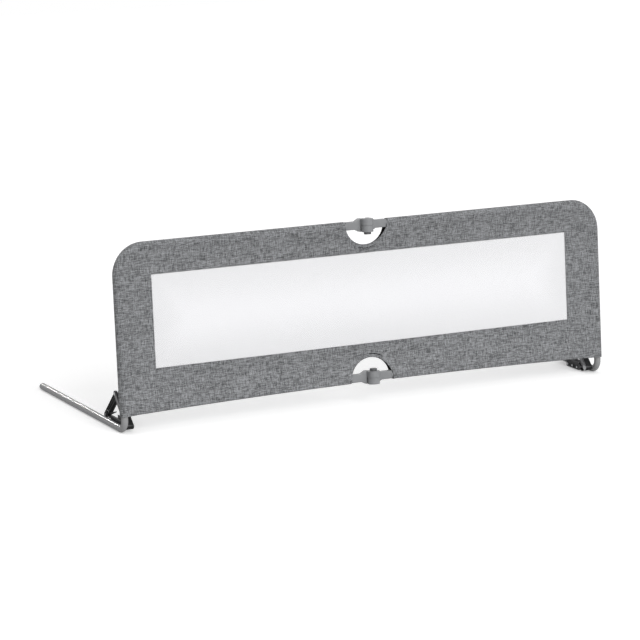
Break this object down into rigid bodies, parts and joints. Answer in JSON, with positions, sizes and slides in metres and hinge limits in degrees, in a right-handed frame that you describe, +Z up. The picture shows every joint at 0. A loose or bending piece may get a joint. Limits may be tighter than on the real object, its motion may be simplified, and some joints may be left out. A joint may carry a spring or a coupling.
{
  "type": "folding bed guard rail",
  "caption": "Folding bed guard rail: fabric panel with a net window on two hinged tube halves, held by arms under the mattress.",
  "frame": {"origin": "on the floor, under the middle of the whole rail", "axes": "+X along the rail to its right end as seen from the front, +Y back towards the tips of the arms, +Z up"},
  "size_m": [1.5, 0.593, 0.5084],
  "materials": {
    "painted_tube": "silver-grey satin paint",
    "hinge_plastic": "mid-grey moulded plastic, satin",
    "pin_plastic": "grey moulded plastic, satin",
    "stay_plastic": "dark grey moulded plastic, satin",
    "black_plastic": "black moulded plastic, satin",
    "bright_steel": "bright zinc-plated steel",
    "cover_fabric": "grey melange plain-weave polyester with slubs",
    "window_net": "fine white warp-knitted net",
    "rubber": "black rubber"
  },
  "bodies": {
    "left_half": {"left_frame_tube": "painted_tube", "left_bottom_tube": "painted_tube", "left_cover": "cover_fabric", "left_window_net": "window_net", "left_guide_bush": "black_plastic", "left_stub_stop": "bright_steel", "left_upper_hinge_leaf": "hinge_plastic", "left_lower_hinge_leaf": "hinge_plastic", "left_upper_leaf_rivet": "bright_steel", "left_lower_leaf_rivet": "bright_steel", "upper_hinge_pin": "pin_plastic", "lower_hinge_pin": "pin_plastic"},
    "right_half": {"right_frame_tube": "painted_tube", "right_bottom_tube": "painted_tube", "right_cover": "cover_fabric", "right_window_net": "window_net", "right_guide_bush": "black_plastic", "right_stub_stop": "bright_steel", "right_upper_hinge_leaf": "hinge_plastic", "right_lower_hinge_leaf": "hinge_plastic", "right_upper_leaf_rivet": "bright_steel", "right_lower_leaf_rivet": "bright_steel"},
    "left_arm": {"left_arm_tube": "painted_tube", "left_arm_cap": "pin_plastic", "left_stay_rail": "stay_plastic", "left_rail_screw_1": "bright_steel", "left_rail_screw_2": "bright_steel", "left_rail_screw_3": "bright_steel", "left_stay_axle": "bright_steel", "left_stay_spring": "bright_steel", "left_floor_pad": "rubber"},
    "right_arm": {"right_arm_tube": "painted_tube", "right_arm_cap": "pin_plastic", "right_stay_rail": "stay_plastic", "right_rail_screw_1": "bright_steel", "right_rail_screw_2": "bright_steel", "right_rail_screw_3": "bright_steel", "right_stay_axle": "bright_steel", "right_stay_spring": "bright_steel", "right_floor_pad": "rubber"},
    "left_stay_front": {"left_front_link": "stay_plastic", "left_apex_pin": "bright_steel"},
    "left_stay_rear": {"left_rear_link": "stay_plastic"},
    "left_stay_foot": {"left_stay_shoe": "black_plastic", "left_shoe_pin": "bright_steel"},
    "right_stay_front": {"right_front_link": "stay_plastic", "right_apex_pin": "bright_steel"},
    "right_stay_rear": {"right_rear_link": "stay_plastic"},
    "right_stay_foot": {"right_stay_shoe": "black_plastic", "right_shoe_pin": "bright_steel"}
  },
  "joints": [
    {"name": "centre_fold", "type": "hinge", "parent": "left_half", "child": "right_half", "pos_m": [0, -0.25841, 0.28108], "axis": [0, -0.0958, -0.9954], "range_deg": [0, 175]},
    {"name": "left_arm_slide", "type": "slide", "parent": "left_half", "child": "left_arm", "axis": [0, -0.0958, -0.9954], "range_m": [0, 0.12]},
    {"name": "right_arm_slide", "type": "slide", "parent": "right_half", "child": "right_arm", "axis": [0, -0.0958, -0.9954], "range_m": [0, 0.12]},
    {"name": "left_stay_swing", "type": "hinge", "parent": "left_arm", "child": "left_stay_front", "pos_m": [-0.7167, -0.24746, 0.015], "axis": [1, 0, 0], "range_deg": [0, 13], "stiffness_Nm_per_rad": 0.4, "springref_deg": -34.38},
    {"name": "left_stay_elbow", "type": "hinge", "parent": "left_stay_front", "child": "left_stay_rear", "pos_m": [-0.7167, -0.17719, 0.08853], "axis": [1, 0, 0], "range_deg": [-26, 0]},
    {"name": "left_shoe_pivot", "type": "hinge", "parent": "left_stay_rear", "child": "left_stay_foot", "pos_m": [-0.7167, -0.10693, 0.015], "axis": [1, 0, 0], "range_deg": [0, 13]},
    {"name": "right_stay_swing", "type": "hinge", "parent": "right_arm", "child": "right_stay_front", "pos_m": [0.7167, -0.24746, 0.015], "axis": [1, 0, 0], "range_deg": [0, 13], "stiffness_Nm_per_rad": 0.4, "springref_deg": -34.38},
    {"name": "right_stay_elbow", "type": "hinge", "parent": "right_stay_front", "child": "right_stay_rear", "pos_m": [0.7167, -0.17719, 0.08853], "axis": [1, 0, 0], "range_deg": [-26, 0]},
    {"name": "right_shoe_pivot", "type": "hinge", "parent": "right_stay_rear", "child": "right_stay_foot", "pos_m": [0.7167, -0.10693, 0.015], "axis": [1, 0, 0], "range_deg": [0, 13]}
  ],
  "couplings": [
    {"joint": "left_stay_elbow", "follows": "left_stay_swing", "ratio": -2},
    {"joint": "left_shoe_pivot", "follows": "left_stay_swing", "ratio": 1},
    {"joint": "right_stay_elbow", "follows": "right_stay_swing", "ratio": -2},
    {"joint": "right_shoe_pivot", "follows": "right_stay_swing", "ratio": 1}
  ]
}
